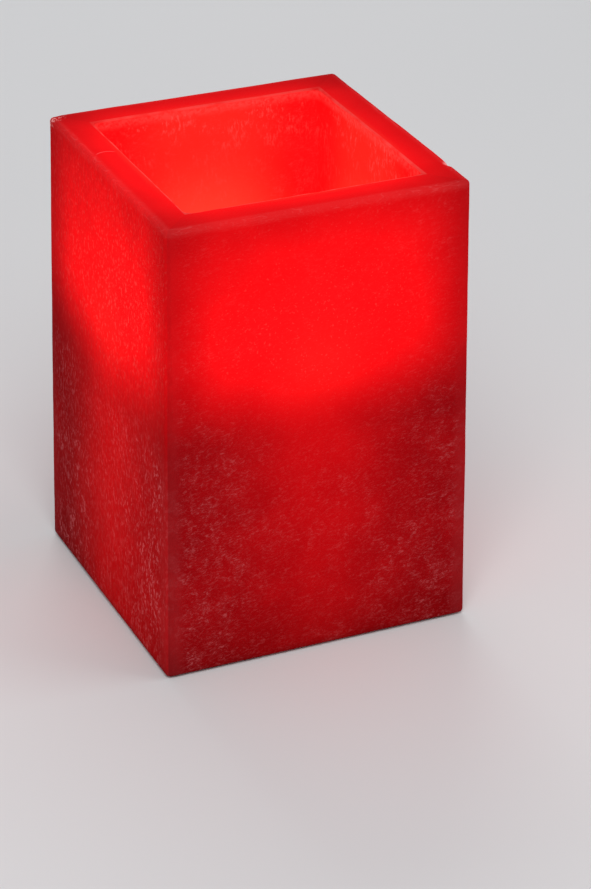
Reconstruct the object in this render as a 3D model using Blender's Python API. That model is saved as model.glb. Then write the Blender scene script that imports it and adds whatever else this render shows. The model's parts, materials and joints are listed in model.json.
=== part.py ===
"""Flameless LED candle: a hollow square wax pillar with a battery module glued into its base.

Metres, +Z up. The origin is the centre of the footprint, on the surface that the candle stands on.
+X runs along the batteries and the switch's travel, +Y points from the batteries to the switch.
A gap of FIT stands between pieces that touch on the real candle.
"""

import math

import bmesh
import bpy
from mathutils import Matrix, Vector

MM = 0.001

# ---- driving dimensions -------------------------------------------------------------------
FIT = 0.3 * MM
CORNER_STEPS = 6  # points on each quarter of a rounded square

CANDLE_TOP = 150 * MM
BASE_WIDTH = 103 * MM
TOP_WIDTH = 99 * MM
WAX_BOTTOM = 0.8 * MM
WAX_CORNER = 2.0 * MM
RIM_ROUNDING = 1.2 * MM
HEM_ROUNDING = 1.0 * MM

WELL_MOUTH = 77.4 * MM  # clear width of the flame well at the rim
WELL_FOOT = 75.4 * MM
WELL_DEPTH = 64 * MM
WELL_CORNER = 2.6 * MM
LIP_ROUNDING = 0.8 * MM
WELL_FILLET = 1.8 * MM
WEB_THICKNESS = 10 * MM
BULB_HOLE = 5.5 * MM  # radius
CAVITY_TOP = 73 * MM  # clear width of the hollow under the web, at its roof
CAVITY_FOOT = 74 * MM
CAVITY_CORNER = 6 * MM

PLATE_WIDTH = 79.4 * MM
PLATE_CORNER = 5.7 * MM
PLATE_BOTTOM = 1.2 * MM
PLATE_THICKNESS = 3.4 * MM
DOOR_THICKNESS = 1.8 * MM
DOOR_SWING_GAP = 0.8 * MM  # lets the door's hinged edge turn past the plate
BARREL_RADIUS = 1.1 * MM
BARREL_LENGTH = 48 * MM
PIN_RADIUS = 0.6 * MM
PIN_REACH = 1.6 * MM  # past each end of the barrel
GLUE_RADIUS = 4 * MM

CELL_RADIUS = 7.1 * MM
CELL_CAN = 49.5 * MM
CELL_NUB = 1.0 * MM
CELL_NUB_RADIUS = 2.7 * MM
CELL_PITCH = 14.7 * MM
CONTACT_THICKNESS = 0.4 * MM
SPRING_LENGTH = 4.2 * MM

BAY_Y = -8.5 * MM  # centre line of the battery bay
BAY_WALL = 1.6 * MM
COVER_WIDTH = 71 * MM
COVER_WALL = 1.6 * MM
COVER_TOP = 25.2 * MM
TAB_REACH = 1.2 * MM  # of a solder tab over the bay
BOSS_RADIUS = 2.6 * MM
PILOT_TOP = 14 * MM

BULB_RADIUS = 6.3 * MM
BULB_FOOT_RADIUS = 6.0 * MM
BULB_WALL = 1.0 * MM
BULB_BELLY = 7 * MM  # height of the widest ring over the bulb's foot
BULB_DOME = 10.5 * MM
BULB_NUB = 2.2 * MM
BULB_NUB_RADIUS = 1.1 * MM
HOLDER_FLANGE_RADIUS = 9 * MM
HOLDER_FLANGE = 1.6 * MM
LEAD_LENGTH = 3.4 * MM  # past the holder's flange

BOARD_BOTTOM = 8.9 * MM
BOARD_THICKNESS = 1.6 * MM
BOARD_LENGTH = 54 * MM
BOARD_WIDTH = 16 * MM
BOARD_Y = 24 * MM
SWITCH_TRAVEL = 4 * MM
SWITCH_SLOT = (SWITCH_TRAVEL / 2 + 2 * MM, 1.9 * MM)  # half its length and half its width

WIRE_RADIUS = 0.6 * MM
LEAD_SPACING = 2.54 * MM

# ---- heights and widths that follow from them ---------------------------------------------
WELL_FLOOR = CANDLE_TOP - WELL_DEPTH
WEB_BOTTOM = WELL_FLOOR - WEB_THICKNESS
HOLDER_SEAT = WELL_FLOOR - 1.0 * MM  # where the LED's flange sits
HOLDER_FLANGE_TOP = WEB_BOTTOM - FIT
HOLDER_FLANGE_BOTTOM = HOLDER_FLANGE_TOP - HOLDER_FLANGE
LEAD_BOTTOM = HOLDER_FLANGE_BOTTOM - LEAD_LENGTH
PLATE_TOP = PLATE_BOTTOM + PLATE_THICKNESS
LEDGE = PLATE_TOP + FIT
DOOR_TOP = PLATE_BOTTOM + DOOR_THICKNESS
DOOR_SEAT = DOOR_TOP + FIT
CELL_LENGTH = CELL_CAN + CELL_NUB
CELL_Z = DOOR_TOP + 0.5 * MM + CELL_RADIUS
BAY_LENGTH = CELL_LENGTH + SPRING_LENGTH + 2 * CONTACT_THICKNESS + 5 * FIT
BAY_WIDTH = 2 * (CELL_PITCH + CELL_RADIUS + FIT)
BAY_ROOF = CELL_Z + CELL_RADIUS + 0.7 * MM
BAY_TOP = BAY_ROOF + BAY_WALL
DOOR_LENGTH = BAY_LENGTH + 1.4 * MM
BOARD_TOP = BOARD_BOTTOM + BOARD_THICKNESS
SWITCH_CASE_TOP = BOARD_BOTTOM - FIT
SWITCH_CASE_BOTTOM = PLATE_TOP + 0.5 * MM
CELL_ROWS = [BAY_Y - CELL_PITCH, BAY_Y, BAY_Y + CELL_PITCH]
CONTACT_FACE = BAY_LENGTH / 2 - FIT - CONTACT_THICKNESS  # inner face of a contact, from x = 0

SCREW_PLACES = [(x * 33.2 * MM, y) for x in (-1, 1) for y in (-20 * MM, 26 * MM)]
FOOT_PLACES = [(x * 33.8 * MM, y * 34.2 * MM) for x in (-1, 1) for y in (-1, 1)]
BOARD_SCREW_PLACES = [(-23.5 * MM, BOARD_Y), (23.5 * MM, BOARD_Y)]
HINGE_Y = BAY_Y - BAY_WIDTH / 2 - 2.5 * MM  # the door's pins lie along X here
HINGE_Z = PLATE_BOTTOM + 1.3 * MM
DOOR_NEAR = HINGE_Y + 2.3 * MM  # the door's edge on either side of the barrel
DOOR_FAR = BAY_Y + BAY_WIDTH / 2 + 1.3 * MM


# ---- helpers --------------------------------------------------------------------------------
def clear_scene():
    for obj in list(bpy.data.objects):
        bpy.data.objects.remove(obj)


def material(name, colour, roughness, metallic=0.0):
    mat = bpy.data.materials.get(name)
    if mat is None:
        mat = bpy.data.materials.new(name)
        mat.use_nodes = True
        shader = mat.node_tree.nodes["Principled BSDF"]
        shader.inputs["Base Color"].default_value = (*colour, 1)
        shader.inputs["Roughness"].default_value = roughness
        shader.inputs["Metallic"].default_value = metallic
    return mat


def wax():
    return material("wax", (0.55, 0.02, 0.02), 0.5)


def white_plastic():
    return material("white_plastic", (0.8, 0.79, 0.75), 0.45)


def black_plastic():
    return material("black_plastic", (0.02, 0.02, 0.02), 0.4)


def nickel():
    return material("nickel", (0.75, 0.74, 0.7), 0.25, 1.0)


def hot_melt():
    return material("hot_melt", (0.85, 0.83, 0.75), 0.35)


def add_object(name, mesh, mat):
    mesh.materials.append(mat)
    mesh.shade_smooth()
    mesh.set_sharp_from_angle(angle=math.radians(35))
    obj = bpy.data.objects.new(name, mesh)
    bpy.context.scene.collection.objects.link(obj)
    return obj


def loft(name, loops, mat, ring=False):
    """A closed solid through loops of equally many points: capped at both ends, or closed as a ring."""
    bm = bmesh.new()
    rows = [[bm.verts.new(point) for point in loop] for loop in loops]
    pairs = list(zip(rows, rows[1:]))
    if ring:
        pairs.append((rows[-1], rows[0]))
    else:
        bm.faces.new(rows[0])
        bm.faces.new(rows[-1])
    for low, high in pairs:
        for i in range(len(low)):
            j = (i + 1) % len(low)
            bm.faces.new((low[i], low[j], high[j], high[i]))
    bmesh.ops.recalc_face_normals(bm, faces=bm.faces)
    mesh = bpy.data.meshes.new(name)
    bm.to_mesh(mesh)
    bm.free()
    return add_object(name, mesh, mat)


def rounded_loop(half_x, half_y, radius, z, centre=(0, 0)):
    """A rectangle with quarter-round corners, level at z."""
    points = []
    for quarter in range(4):
        sign_x = (1, -1, -1, 1)[quarter]
        sign_y = (1, 1, -1, -1)[quarter]
        for step in range(CORNER_STEPS + 1):
            angle = math.radians(90) * (quarter + step / CORNER_STEPS)
            x = sign_x * (half_x - radius) + radius * math.cos(angle)
            y = sign_y * (half_y - radius) + radius * math.sin(angle)
            points.append(Vector((centre[0] + x, centre[1] + y, z)))
    return points


def square_loop(half, radius, z):
    return rounded_loop(half, half, radius, z)


def hole_loop(radius, z):
    """A circle with as many points as a rounded square, so that the two can be lofted."""
    quarter_share = CORNER_STEPS + 1
    count = 4 * quarter_share
    first = math.radians(45) - math.radians(360) * (CORNER_STEPS / 2) / count
    turn = [first + math.radians(360) * i / count for i in range(count)]
    return [Vector((radius * math.cos(a), radius * math.sin(a), z)) for a in turn]


def circle(radius, z, steps=24, centre=(0, 0)):
    turn = [math.radians(360) * i / steps for i in range(steps)]
    return [
        Vector((centre[0] + radius * math.cos(a), centre[1] + radius * math.sin(a), z))
        for a in turn
    ]


def turned(name, profile, mat, steps=24, centre=(0, 0), ring=False):
    """A solid of revolution about a vertical line, from (radius, z) points."""
    loops = [circle(radius, z, steps, centre) for radius, z in profile]
    return loft(name, loops, mat, ring)


def box(name, low, high, mat, corner=None):
    """A block between two corners, with its upright edges rounded when corner is given."""
    half_x = (high[0] - low[0]) / 2
    half_y = (high[1] - low[1]) / 2
    centre = (low[0] + half_x, low[1] + half_y)
    if corner:
        loops = [rounded_loop(half_x, half_y, corner, z, centre) for z in (low[2], high[2])]
        return loft(name, loops, mat)
    plan = [(-half_x, -half_y), (half_x, -half_y), (half_x, half_y), (-half_x, half_y)]
    loops = [[Vector((centre[0] + x, centre[1] + y, z)) for x, y in plan] for z in (low[2], high[2])]
    return loft(name, loops, mat)


def tube(name, points, radius, mat, sides=2):
    """A round rod along points, as a curve with closed ends."""
    curve = bpy.data.curves.new(name, "CURVE")
    curve.dimensions = "3D"
    curve.bevel_depth = radius
    curve.bevel_resolution = sides
    curve.use_fill_caps = True
    spline = curve.splines.new("POLY")
    spline.points.add(len(points) - 1)
    for spline_point, point in zip(spline.points, points):
        spline_point.co = (*point, 1)
    curve.materials.append(mat)
    obj = bpy.data.objects.new(name, curve)
    bpy.context.scene.collection.objects.link(obj)
    return obj


def smooth_route(points, spacing):
    """Points about spacing apart on a Catmull-Rom curve through the given ones."""
    route = []
    padded = [2 * points[0] - points[1], *points, 2 * points[-1] - points[-2]]
    for a, b, c, d in zip(padded, padded[1:], padded[2:], padded[3:]):
        steps = max(1, round((c - b).length / spacing))
        for step in range(steps):
            t = step / steps
            route.append(
                0.5 * (2 * b + (c - a) * t + (2 * a - 5 * b + 4 * c - d) * t**2
                       + (3 * b - a - 3 * c + d) * t**3)
            )
    return [*route, points[-1]]


def boolean(obj, tool, operation):
    modifier = obj.modifiers.new(f"{operation} {tool.name}", "BOOLEAN")
    modifier.operation = operation
    modifier.object = tool
    tool.hide_render = True
    tool.display_type = "WIRE"


def cut(obj, *tools):
    for tool in tools:
        boolean(obj, tool, "DIFFERENCE")


def join(obj, *tools):
    for tool in tools:
        boolean(obj, tool, "UNION")


def quarter_arc(steps):
    """Sine and 1 - cosine pairs from 0 to 90 degrees, for roundings."""
    angles = [math.radians(90) * i / steps for i in range(steps + 1)]
    return [(math.sin(a), 1 - math.cos(a)) for a in angles]


# ---- the wax pillar ---------------------------------------------------------------------------
def outer_half(z):
    """Half the pillar's width at a height: the mould's draft narrows it towards the rim."""
    share = (z - WAX_BOTTOM) / (CANDLE_TOP - WAX_BOTTOM)
    return (BASE_WIDTH + (TOP_WIDTH - BASE_WIDTH) * share) / 2


def make_wax_body():
    outside = []
    for across, up in quarter_arc(2):
        z = WAX_BOTTOM + HEM_ROUNDING * up
        inset = HEM_ROUNDING * (1 - across)
        outside.append(square_loop(outer_half(z) - inset, WAX_CORNER - inset, z))
    for across, up in reversed(quarter_arc(3)):
        z = CANDLE_TOP - RIM_ROUNDING * up
        inset = RIM_ROUNDING * (1 - across)
        outside.append(square_loop(outer_half(z) - inset, WAX_CORNER - inset, z))

    well = []
    for across, down in quarter_arc(2):
        half = WELL_MOUTH / 2 + LIP_ROUNDING * (1 - across)
        corner = WELL_CORNER + half - WELL_MOUTH / 2
        well.append(square_loop(half, corner, CANDLE_TOP - LIP_ROUNDING * down))
    for across, up in reversed(quarter_arc(3)):
        inset = WELL_FILLET * (1 - across)
        half = WELL_FOOT / 2 - inset
        well.append(square_loop(half, WELL_CORNER - inset, WELL_FLOOR + WELL_FILLET * up))

    inside = [
        hole_loop(BULB_HOLE, WELL_FLOOR),
        hole_loop(BULB_HOLE, WEB_BOTTOM),
        square_loop(CAVITY_TOP / 2, CAVITY_CORNER, WEB_BOTTOM),
        square_loop(CAVITY_FOOT / 2, CAVITY_CORNER, LEDGE),
        square_loop(PLATE_WIDTH / 2 + FIT, PLATE_CORNER + FIT, LEDGE),
        square_loop(PLATE_WIDTH / 2 + FIT, PLATE_CORNER + FIT, WAX_BOTTOM),
    ]
    loft("wax_body", outside + well + inside, wax(), ring=True)


# ---- the light ----------------------------------------------------------------------------------
def bulb_profile(inset, foot_z):
    """Radius and height up the bulb's wall, drawn inset from its outside: foot, belly and dome."""
    belly = WELL_FLOOR + FIT + BULB_BELLY
    widest = BULB_RADIUS - inset
    foot = BULB_FOOT_RADIUS - inset
    profile = []
    for i in range(4):
        share = i / 4
        radius = foot + (widest - foot) * math.sin(math.radians(90) * share)
        profile.append((radius, foot_z + (belly - foot_z) * share))
    tip = math.acos(BULB_NUB_RADIUS / widest)
    for i in range(8):
        angle = tip * i / 7
        profile.append((widest * math.cos(angle), belly + (BULB_DOME - inset) * math.sin(angle)))
    return profile


def make_bulb():
    foot_z = WELL_FLOOR + FIT
    inside = list(reversed(bulb_profile(BULB_WALL, foot_z)))
    outside = bulb_profile(0, foot_z)
    nub_z = outside[-1][1]
    nub = [
        (BULB_NUB_RADIUS * 0.95, nub_z + BULB_NUB * 0.7),
        (BULB_NUB_RADIUS * 0.55, nub_z + BULB_NUB),
    ]
    turned("flame_bulb", inside + outside + nub, material("bulb", (0.95, 0.8, 0.5), 0.3))

    thread_foot = nub_z + BULB_NUB + FIT
    lean = 0.25 * MM
    thread = [
        circle(radius * MM, thread_foot + rise * MM, 8, (lean * sway, 0))
        for radius, rise, sway in ((0.35, 0, 0), (0.3, 2.5, 1), (0.25, 5, 0.4), (0.15, 6.5, 0))
    ]
    loft("wick_thread", thread, material("wick", (0.5, 0.2, 0.05), 0.8))


def make_led_holder():
    collar = BULB_FOOT_RADIUS - BULB_WALL - FIT
    body = BULB_HOLE - FIT
    bore = 1.9 * MM
    socket = 3.2 * MM
    collar_top = WELL_FLOOR + 2.0 * MM
    profile = [
        (bore, HOLDER_FLANGE_BOTTOM),
        (HOLDER_FLANGE_RADIUS, HOLDER_FLANGE_BOTTOM),
        (HOLDER_FLANGE_RADIUS, HOLDER_FLANGE_TOP),
        (body, HOLDER_FLANGE_TOP),
        (body, WELL_FLOOR - 0.2 * MM),
        (collar, WELL_FLOOR - 0.2 * MM),
        (collar, collar_top),
        (socket, collar_top),
        (socket, HOLDER_SEAT),
        (bore, HOLDER_SEAT),
    ]
    turned("led_holder", profile, white_plastic(), ring=True)

    bead_inner = HOLDER_FLANGE_RADIUS + FIT
    bead_outer = bead_inner + 3.2 * MM
    bead = [
        (bead_inner, HOLDER_FLANGE_TOP),
        (bead_inner, HOLDER_FLANGE_BOTTOM),
        (bead_inner + 1.2 * MM, HOLDER_FLANGE_BOTTOM - 0.2 * MM),
        (bead_outer - 0.6 * MM, HOLDER_FLANGE_TOP - 0.7 * MM),
        (bead_outer, HOLDER_FLANGE_TOP),
    ]
    turned("holder_glue_ring", bead, hot_melt(), ring=True)


def make_led():
    base = HOLDER_SEAT + FIT
    body = 2.5 * MM
    shoulder = base + 6.1 * MM
    profile = [(2.9 * MM, base), (2.9 * MM, base + 1 * MM), (body, base + 1 * MM), (body, shoulder)]
    for i in range(1, 5):
        angle = math.radians(90) * i / 4.4
        profile.append((body * math.cos(angle), shoulder + body * math.sin(angle)))
    turned("led", profile, material("led_epoxy", (0.95, 0.85, 0.6), 0.15), steps=20)

    half = 0.25 * MM
    for name, side in (("led_lead_anode", 1), ("led_lead_cathode", -1)):
        x = side * LEAD_SPACING / 2
        box(name, (x - half, -half, LEAD_BOTTOM), (x + half, half, base - FIT), nickel())


def make_sleeves():
    """Heat-shrink over each joint of LED lead and wire."""
    inner = 0.85 * MM
    outer = 1.15 * MM
    low = LEAD_BOTTOM - 5 * MM
    high = LEAD_BOTTOM + 2.4 * MM
    profile = [(inner, low), (outer, low), (outer, high), (inner, high)]
    for name, side in (("sleeve_positive", 1), ("sleeve_negative", -1)):
        centre = (side * LEAD_SPACING / 2, 0)
        turned(name, profile, black_plastic(), steps=12, centre=centre, ring=True)


# ---- the battery module -------------------------------------------------------------------------
def tool_box(name, low, high, corner=None):
    return box(name, low, high, black_plastic(), corner)


def tool_rod(name, radius, low, high, place, steps=20):
    profile = [(radius, low), (radius, high)]
    return turned(name, profile, black_plastic(), steps, place)


def rod_along_x(name, radius, half_length, mat, steps):
    """A round rod centred on the door's hinge line."""
    loops = []
    for x in (-half_length, half_length):
        loops.append([Vector((x, HINGE_Y + p.x, HINGE_Z + p.y)) for p in circle(radius, 0, steps)])
    return loft(name, loops, mat)


def hang_on_hinge(door):
    """Put the door under an empty that stands on its hinge line."""
    hinge = bpy.data.objects.new("door_hinge_axis", None)
    hinge.location = (0, HINGE_Y, HINGE_Z)
    bpy.context.scene.collection.objects.link(hinge)
    door.parent = hinge
    door.matrix_parent_inverse = Matrix.Translation((0, -HINGE_Y, -HINGE_Z))


def make_base_tray():
    half = PLATE_WIDTH / 2
    chamfer = 0.4 * MM
    tray = loft(
        "base_tray",
        [
            square_loop(half - chamfer, PLATE_CORNER - chamfer, PLATE_BOTTOM),
            square_loop(half, PLATE_CORNER, PLATE_BOTTOM + chamfer),
            square_loop(half, PLATE_CORNER, PLATE_TOP),
        ],
        white_plastic(),
    )
    wall_x = BAY_LENGTH / 2 + BAY_WALL
    wall_y = BAY_WIDTH / 2 + BAY_WALL
    rooted = PLATE_TOP - 1 * MM
    bay_low = (-wall_x, BAY_Y - wall_y, rooted)
    join(tray, tool_box("bay_walls", bay_low, (wall_x, BAY_Y + wall_y, BAY_TOP)))
    for i, place in enumerate(BOARD_SCREW_PLACES):
        pilot_foot = PLATE_TOP + 0.4 * MM
        join(tray, tool_rod(f"board_boss_{i}", 2.7 * MM, rooted, BOARD_BOTTOM - FIT, place))
        cut(tray, tool_rod(f"board_pilot_{i}", 1.3 * MM, pilot_foot, BOARD_BOTTOM, place, 12))
    cut_tray_underside(tray)
    cut_switch_opening(tray)
    cut_fastener_holes(tray)


def cut_tray_underside(tray):
    """The door's pocket, the hinge, the latch and the battery space."""
    below = PLATE_BOTTOM - 1 * MM
    pocket_x = DOOR_LENGTH / 2 + FIT
    barrel_x = BARREL_LENGTH / 2 + FIT
    cut(
        tray,
        tool_box(
            "door_pocket",
            (-pocket_x, DOOR_NEAR - DOOR_SWING_GAP, below),
            (pocket_x, DOOR_FAR + FIT, DOOR_SEAT),
            2 * MM,
        ),
        tool_box(
            "barrel_recess",
            (-barrel_x, HINGE_Y - BARREL_RADIUS - 0.7 * MM, below),
            (barrel_x, DOOR_NEAR + 2.5 * MM, HINGE_Z + BARREL_RADIUS + FIT),
        ),
        rod_along_x("pin_sockets", PIN_RADIUS + FIT, barrel_x + PIN_REACH, black_plastic(), 16),
        tool_box(
            "latch_notch",
            (-5.2 * MM, BAY_Y + BAY_WIDTH / 2 - 1 * MM, 4.2 * MM),
            (5.2 * MM, BAY_Y + BAY_WIDTH / 2 + 0.6 * MM, 5.5 * MM),
        ),
        tool_box(
            "bay_space",
            (-BAY_LENGTH / 2, BAY_Y - BAY_WIDTH / 2, DOOR_SEAT - 1 * MM),
            (BAY_LENGTH / 2, BAY_Y + BAY_WIDTH / 2, BAY_ROOF),
            1 * MM,
        ),
        tool_rod("nail_scoop", 5 * MM, below, PLATE_BOTTOM + 1.4 * MM, (0, DOOR_FAR - 2 * MM)),
    )


def cut_switch_opening(tray):
    below = PLATE_BOTTOM - 1 * MM
    finger_x = 8 * MM
    finger_y = 4.6 * MM
    cut(
        tray,
        tool_box(
            "finger_dish",
            (-finger_x, BOARD_Y - finger_y, below),
            (finger_x, BOARD_Y + finger_y, PLATE_BOTTOM + 1 * MM),
            3 * MM,
        ),
        tool_box(
            "switch_slot",
            (-SWITCH_SLOT[0], BOARD_Y - SWITCH_SLOT[1], below),
            (SWITCH_SLOT[0], BOARD_Y + SWITCH_SLOT[1], PLATE_TOP + 1 * MM),
            0.6 * MM,
        ),
    )


def cut_fastener_holes(tray):
    """Holes for the screws, feet, glue and solder tabs."""
    below = PLATE_BOTTOM - 1 * MM
    for i, place in enumerate(SCREW_PLACES):
        cut(
            tray,
            tool_rod(f"screw_sink_{i}", 2.7 * MM, below, PLATE_BOTTOM + 1.8 * MM, place),
            tool_rod(f"screw_hole_{i}", 1.5 * MM, below, PLATE_TOP + 1 * MM, place, 12),
        )
    for i, place in enumerate(FOOT_PLACES):
        cut(tray, tool_rod(f"foot_pocket_{i}", 4.2 * MM, below, PLATE_BOTTOM + 0.6 * MM, place))
    for i, (x, y) in enumerate(glue_places()):
        cut(tray, tool_rod(f"glue_notch_{i}", GLUE_RADIUS, below, PLATE_TOP + 1 * MM, (x, y)))
    for i, (side, y) in enumerate(((-1, CELL_ROWS[0]), (1, CELL_ROWS[2]))):
        x = side * (CONTACT_FACE + CONTACT_THICKNESS / 2)
        slot = 0.5 * MM
        low = (x - slot, y - 2 * MM, BAY_ROOF - 1 * MM)
        cut(tray, tool_box(f"tab_slot_{i}", low, (x + slot, y + 2 * MM, BAY_TOP + 1 * MM)))


def glue_places():
    """Middles of the plate's four sides, where hot melt holds it in the wax."""
    half = PLATE_WIDTH / 2
    return [(half, 3 * MM), (-half, 3 * MM), (0, half), (0, -half)]


def make_glue_beads():
    """Each bead fills a half-round notch in the plate's edge, and domes a little below it."""
    radius = GLUE_RADIUS - FIT
    for number, (x, y) in enumerate(glue_places(), 1):
        inward = math.atan2(-y, 0) if x == 0 else math.atan2(0, -x)
        arc = [inward + math.radians(-90 + 180 * i / 10) for i in range(11)]
        loops = []
        for share, z in ((0.75, WAX_BOTTOM), (1, PLATE_BOTTOM + 0.3 * MM), (1, PLATE_TOP)):
            reach = radius * share
            points = [Vector((x + reach * math.cos(a), y + reach * math.sin(a), z)) for a in arc]
            loops.append(points)
        loft(f"glue_bead_{number}", loops, hot_melt())


def make_module_cover():
    half = COVER_WIDTH / 2
    corner = 5 * MM
    rounding = 1.5 * MM
    inner = half - COVER_WALL
    inner_corner = corner - COVER_WALL
    ceiling = COVER_TOP - COVER_WALL
    cover = loft(
        "module_cover",
        [
            square_loop(inner, inner_corner, ceiling),
            square_loop(inner, inner_corner, LEDGE),
            square_loop(half, corner, LEDGE),
            square_loop(half, corner, COVER_TOP - rounding),
            square_loop(half - rounding, corner - rounding, COVER_TOP),
        ],
        white_plastic(),
    )
    for i, place in enumerate(SCREW_PLACES):
        boss_foot = LEDGE + 0.2 * MM
        join(cover, tool_rod(f"cover_boss_{i}", BOSS_RADIUS, boss_foot, ceiling + 0.5 * MM, place))
        cut(cover, tool_rod(f"cover_pilot_{i}", 1.4 * MM, LEDGE - 1 * MM, PILOT_TOP, place, 12))
    cut(cover, tool_rod("wire_exit", 3 * MM, ceiling - 1 * MM, COVER_TOP + 1 * MM, (0, 0)))


def make_battery_door():
    half_x = DOOR_LENGTH / 2
    far = DOOR_FAR
    low = (-half_x, DOOR_NEAR, PLATE_BOTTOM)
    door = box("battery_door", low, (half_x, far, DOOR_TOP), white_plastic(), 1.8 * MM)
    strap_x = BARREL_LENGTH / 2 - 0.1 * MM
    latch_x = 7 * MM
    latch_y = BAY_Y + BAY_WIDTH / 2 - FIT
    join(
        door,
        tool_box(
            "hinge_strap",
            (-strap_x, HINGE_Y, PLATE_BOTTOM + 0.2 * MM),
            (strap_x, DOOR_NEAR + 2 * MM, DOOR_TOP - 0.1 * MM),
        ),
        rod_along_x("hinge_barrel", BARREL_RADIUS, BARREL_LENGTH / 2, black_plastic(), 20),
        rod_along_x("hinge_pins", PIN_RADIUS, BARREL_LENGTH / 2 + PIN_REACH, black_plastic(), 16),
        tool_box(
            "latch_tongue",
            (-5 * MM, latch_y - 1.5 * MM, DOOR_TOP - 1 * MM),
            (5 * MM, latch_y - 0.5 * MM, 5.8 * MM),
        ),
        tool_box("latch_ridge", (-4.5 * MM, latch_y - 1 * MM, 4.4 * MM), (4.5 * MM, latch_y, 5.2 * MM)),
    )
    hang_on_hinge(door)
    slit = 0.4 * MM
    for i, x in enumerate((-latch_x, latch_x)):
        low = (x - slit, far - 9 * MM, PLATE_BOTTOM - 1 * MM)
        cut(door, tool_box(f"latch_slit_{i}", low, (x + slit, far + 1 * MM, DOOR_TOP + 1 * MM)))
    for i in range(4):
        y = far - 2.2 * MM - 1.5 * MM * i
        low = (-4.5 * MM, y - 0.4 * MM, PLATE_BOTTOM - 1 * MM)
        cut(door, tool_box(f"grip_groove_{i}", low, (4.5 * MM, y + 0.4 * MM, PLATE_BOTTOM + 0.5 * MM)))


# ---- batteries and contacts ---------------------------------------------------------------------
def along_x(points, x_sign, y):
    """Points of a solid turned about +Z, laid along X at a cell's row."""
    return [Vector((x_sign * p.z, y + p.x, CELL_Z + x_sign * p.y)) for p in points]


def make_cells():
    """Three AA cells in series: the middle one lies the other way round."""
    foot = -(CONTACT_FACE - FIT - SPRING_LENGTH - FIT)
    shoulder = foot + CELL_CAN
    edge = 0.6 * MM
    profile = [
        (CELL_RADIUS - edge, foot),
        (CELL_RADIUS, foot + edge),
        (CELL_RADIUS, shoulder - edge),
        (CELL_RADIUS - edge, shoulder),
        (CELL_NUB_RADIUS, shoulder),
        (CELL_NUB_RADIUS, shoulder + CELL_NUB),
    ]
    for number, (y, x_sign) in enumerate(zip(CELL_ROWS, (1, -1, 1)), 1):
        loops = [along_x(circle(radius, z), x_sign, y) for radius, z in profile]
        loft(f"battery_cell_{number}", loops, material("cell", (0.1, 0.12, 0.16), 0.35, 0.4))


def make_contacts():
    """Nickel plates at the bay's ends: two terminals with solder tabs, and two bridges."""
    low_z = DOOR_SEAT + 1.9 * MM
    high_z = BAY_ROOF - 1.4 * MM
    reach = 5 * MM
    rows = CELL_ROWS
    plates = (
        ("contact_negative", -1, rows[0], rows[0]),
        ("contact_bridge_left", -1, rows[1], rows[2]),
        ("contact_bridge_right", 1, rows[0], rows[1]),
        ("contact_positive", 1, rows[2], rows[2]),
    )
    for name, side, first, last in plates:
        ends = sorted((side * CONTACT_FACE, side * (CONTACT_FACE + CONTACT_THICKNESS)))
        plate = box(name, (ends[0], first - reach, low_z), (ends[1], last + reach, high_z), nickel())
        if first == last:
            inset = 0.02 * MM
            tab = tool_box(
                f"{name}_tab",
                (ends[0] + inset, first - 1.5 * MM, high_z - 2 * MM),
                (ends[1] - inset, first + 1.5 * MM, BAY_TOP + TAB_REACH),
            )
            join(plate, tab)


def make_springs():
    """Conical springs that press on the negative ends."""
    wire = 0.35 * MM
    turns = 4.5
    steps_per_turn = 12
    wide = 4.3 * MM
    narrow = 2.5 * MM
    count = round(turns * steps_per_turn)
    for number, (y, side) in enumerate(zip(CELL_ROWS, (-1, 1, -1)), 1):
        points = []
        for i in range(count + 1):
            share = i / count
            angle = math.radians(360) * turns * share
            radius = wide + (narrow - wide) * share
            depth = FIT + wire + (SPRING_LENGTH - 2 * wire) * share
            x = side * (CONTACT_FACE - depth)
            points.append(Vector((x, y + radius * math.cos(angle), CELL_Z + radius * math.sin(angle))))
        tube(f"contact_spring_{number}", points, wire, nickel(), sides=1)


# ---- the circuit board and switch ---------------------------------------------------------------
def make_board():
    half_x = BOARD_LENGTH / 2
    half_y = BOARD_WIDTH / 2
    board = box(
        "circuit_board",
        (-half_x, BOARD_Y - half_y, BOARD_BOTTOM),
        (half_x, BOARD_Y + half_y, BOARD_TOP),
        material("board", (0.03, 0.22, 0.09), 0.4),
        1 * MM,
    )
    for i, place in enumerate(BOARD_SCREW_PLACES):
        low, high = BOARD_BOTTOM - 1 * MM, BOARD_TOP + 1 * MM
        cut(board, tool_rod(f"board_hole_{i}", 1.4 * MM, low, high, place, 16))


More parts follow.
